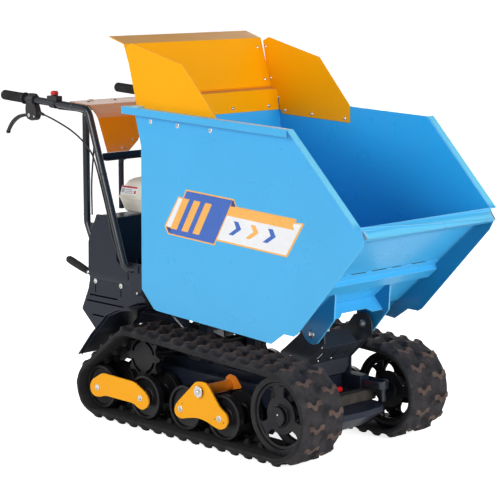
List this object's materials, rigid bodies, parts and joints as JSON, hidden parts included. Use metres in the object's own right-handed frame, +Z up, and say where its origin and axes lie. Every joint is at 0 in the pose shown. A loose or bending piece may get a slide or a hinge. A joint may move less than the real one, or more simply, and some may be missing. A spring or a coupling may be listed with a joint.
{
  "type": "power wheelbarrow",
  "caption": "Walk-behind tracked carrier with a steel tub that tips forward over a front hinge, rubber crawler tracks, a rear engine and two handlebars.",
  "frame": {"origin": "centre of the bounding box in plan, on the ground", "axes": "+X the way the tub tips, +Y the machine's left, +Z up"},
  "size_m": [1.768, 0.678, 1.2899],
  "materials": {
    "tub_blue": "semi-gloss powder coat",
    "wing_yellow": "semi-gloss powder coat",
    "hood_orange": "semi-gloss powder coat",
    "link_yellow": "gloss paint",
    "frame": "satin dark paint",
    "track_rubber": "worn matte rubber",
    "wheel_iron": "satin dark paint",
    "zinc": "zinc plated",
    "aluminium": "cast",
    "steel": "heat dulled",
    "chrome": "polished",
    "cream": "gloss paint",
    "black_plastic": "grained",
    "grip_rubber": "matte",
    "signal_red": "gloss"
  },
  "bodies": {
    "tub": {"tub": "tub_blue", "tub_rib": "tub_blue", "tub_hinge": "tub_blue", "tub_cylinder_ears": "frame", "extension_wing_L": "wing_yellow", "extension_wing_R": "wing_yellow", "extension_board": "wing_yellow", "extension_strip": "wing_yellow"},
    "tipping_barrel": {"cylinder_barrel": "frame"},
    "tipping_rod": {"cylinder_rod": "chrome"},
    "cap": {"fuel_cap": "black_plastic"},
    "gear_stick": {"gear_lever": "grip_rubber"},
    "tip_stick": {"tipping_lever": "black_plastic"},
    "kill": {"kill_button": "signal_red"},
    "bogie_R": {"front_bogie_R": "link_yellow"},
    "drive_R": {"drive_sprocket_R": "wheel_iron"},
    "front_wheel_R": {"idler_wheel_R": "wheel_iron"},
    "brake_R": {"brake_lever_R": "black_plastic"},
    "wheel_R1": {"roller_R1": "wheel_iron"},
    "wheel_R2": {"roller_R2": "wheel_iron"},
    "wheel_R3": {"roller_R3": "wheel_iron"},
    "wheel_R4": {"roller_R4": "wheel_iron"},
    "bogie_L": {"front_bogie_L": "link_yellow"},
    "drive_L": {"drive_sprocket_L": "wheel_iron"},
    "front_wheel_L": {"idler_wheel_L": "wheel_iron"},
    "brake_L": {"brake_lever_L": "black_plastic"},
    "wheel_L1": {"roller_L1": "wheel_iron"},
    "wheel_L2": {"roller_L2": "wheel_iron"},
    "wheel_L3": {"roller_L3": "wheel_iron"},
    "wheel_L4": {"roller_L4": "wheel_iron"},
    "chassis": {"console_hood": "hood_orange", "rear_link_L": "link_yellow", "rear_link_R": "link_yellow", "front_bracket": "frame", "chassis_frame": "frame", "hydraulic_oil_tank": "frame", "rear_cover": "frame", "side_panel_L": "frame", "side_panel_R": "frame", "track_guard_L": "frame", "track_guard_R": "frame", "handle_L": "frame", "handle_R": "frame", "console_frame": "frame", "console_hoop": "frame", "track_belt_L": "track_rubber", "track_belt_R": "track_rubber", "hinge_pin": "zinc", "engine_block": "aluminium", "gearbox": "aluminium", "exhaust_box": "steel", "fuel_tank": "cream", "air_cleaner": "black_plastic", "lever_clamp_L": "black_plastic", "lever_clamp_R": "black_plastic", "brake_cable_L": "black_plastic", "brake_cable_R": "black_plastic", "kill_switch_base": "black_plastic", "grip_L": "grip_rubber", "grip_R": "grip_rubber"}
  },
  "joints": [
    {"name": "tub_tip", "type": "hinge", "parent": "chassis", "child": "tub", "pos_m": [0.5, 0, 0.384], "axis": [0, 1, 0], "range_deg": [0, 65]},
    {"name": "barrel_swing", "type": "hinge", "parent": "chassis", "child": "tipping_barrel", "pos_m": [0.24, 0, 0.12], "axis": [0, 1, 0], "range_deg": [-8, 2]},
    {"name": "rod_out", "type": "slide", "parent": "tipping_barrel", "child": "tipping_rod", "axis": [0.5921, 0, 0.8059], "range_m": [0, 0.09]},
    {"name": "drive_turn_R", "type": "hinge", "parent": "chassis", "child": "drive_R", "pos_m": [-0.15, -0.249, 0.228], "axis": [0, 1, 0], "continuous": true},
    {"name": "front_turn_R", "type": "hinge", "parent": "chassis", "child": "front_wheel_R", "pos_m": [0.527, -0.249, 0.156], "axis": [0, 1, 0], "continuous": true},
    {"name": "bogie_rock_R", "type": "hinge", "parent": "chassis", "child": "bogie_R", "pos_m": [0.193, -0.249, 0.179], "axis": [0, 1, 0], "range_deg": [-3, 3], "deforming": ["track_belt_R"]},
    {"name": "wheel_turn_R1", "type": "hinge", "parent": "chassis", "child": "wheel_R1", "pos_m": [-0.318, -0.249, 0.1055], "axis": [0, 1, 0], "continuous": true},
    {"name": "wheel_turn_R2", "type": "hinge", "parent": "chassis", "child": "wheel_R2", "pos_m": [-0.097, -0.249, 0.1055], "axis": [0, 1, 0], "continuous": true},
    {"name": "wheel_turn_R3", "type": "hinge", "parent": "bogie_R", "child": "wheel_R3", "pos_m": [0.1, -0.249, 0.1055], "axis": [0, 1, 0], "continuous": true},
    {"name": "wheel_turn_R4", "type": "hinge", "parent": "bogie_R", "child": "wheel_R4", "pos_m": [0.281, -0.249, 0.1055], "axis": [0, 1, 0], "continuous": true},
    {"name": "brake_right", "type": "hinge", "parent": "chassis", "child": "brake_R", "pos_m": [-0.735, -0.262, 0.998], "axis": [0, 1, 0], "range_deg": [0, 22], "stiffness_Nm_per_rad": 0.5, "springref_deg": -5.73},
    {"name": "drive_turn_L", "type": "hinge", "parent": "chassis", "child": "drive_L", "pos_m": [-0.15, 0.249, 0.228], "axis": [0, 1, 0], "continuous": true},
    {"name": "front_turn_L", "type": "hinge", "parent": "chassis", "child": "front_wheel_L", "pos_m": [0.527, 0.249, 0.156], "axis": [0, 1, 0], "continuous": true},
    {"name": "bogie_rock_L", "type": "hinge", "parent": "chassis", "child": "bogie_L", "pos_m": [0.193, 0.249, 0.179], "axis": [0, 1, 0], "range_deg": [-3, 3], "deforming": ["track_belt_L"]},
    {"name": "wheel_turn_L1", "type": "hinge", "parent": "chassis", "child": "wheel_L1", "pos_m": [-0.318, 0.249, 0.1055], "axis": [0, 1, 0], "continuous": true},
    {"name": "wheel_turn_L2", "type": "hinge", "parent": "chassis", "child": "wheel_L2", "pos_m": [-0.097, 0.249, 0.1055], "axis": [0, 1, 0], "continuous": true},
    {"name": "wheel_turn_L3", "type": "hinge", "parent": "bogie_L", "child": "wheel_L3", "pos_m": [0.1, 0.249, 0.1055], "axis": [0, 1, 0], "continuous": true},
    {"name": "wheel_turn_L4", "type": "hinge", "parent": "bogie_L", "child": "wheel_L4", "pos_m": [0.281, 0.249, 0.1055], "axis": [0, 1, 0], "continuous": true},
    {"name": "brake_left", "type": "hinge", "parent": "chassis", "child": "brake_L", "pos_m": [-0.735, 0.262, 0.998], "axis": [0, 1, 0], "range_deg": [0, 22], "stiffness_Nm_per_rad": 0.5, "springref_deg": -5.73},
    {"name": "gear_shift", "type": "hinge", "parent": "chassis", "child": "gear_stick", "pos_m": [-0.463, -0.215, 0.463], "axis": [0, 1, 0], "range_deg": [-8, 8]},
    {"name": "tipping_control", "type": "hinge", "parent": "chassis", "child": "tip_stick", "pos_m": [-0.47, 0.12, 1.062], "axis": [0, 1, 0], "range_deg": [-15, 15], "stiffness_Nm_per_rad": 0.6},
    {"name": "cap_turn", "type": "hinge", "parent": "chassis", "child": "cap", "pos_m": [-0.26, -0.02, 0.806], "axis": [0, 0, 1], "range_deg": [0, 120]},
    {"name": "kill_press", "type": "slide", "parent": "chassis", "child": "kill", "axis": [0, 0, -1], "range_m": [0, 0.003], "stiffness_N_per_m": 200, "springref_m": -0.001}
  ],
  "couplings": [
    {"joint": "barrel_swing", "follows": "tub_tip", "ratio": -0.0798},
    {"joint": "rod_out", "follows": "tub_tip", "m_per_rad": 0.0714},
    {"joint": "front_turn_R", "follows": "drive_turn_R", "ratio": 0.6656},
    {"joint": "wheel_turn_R1", "follows": "drive_turn_R", "ratio": 1.1168},
    {"joint": "wheel_turn_R2", "follows": "drive_turn_R", "ratio": 1.1168},
    {"joint": "wheel_turn_R3", "follows": "drive_turn_R", "ratio": 1.1168},
    {"joint": "wheel_turn_R4", "follows": "drive_turn_R", "ratio": 1.1168},
    {"joint": "front_turn_L", "follows": "drive_turn_L", "ratio": 0.6656},
    {"joint": "wheel_turn_L1", "follows": "drive_turn_L", "ratio": 1.1168},
    {"joint": "wheel_turn_L2", "follows": "drive_turn_L", "ratio": 1.1168},
    {"joint": "wheel_turn_L3", "follows": "drive_turn_L", "ratio": 1.1168},
    {"joint": "wheel_turn_L4", "follows": "drive_turn_L", "ratio": 1.1168}
  ]
}
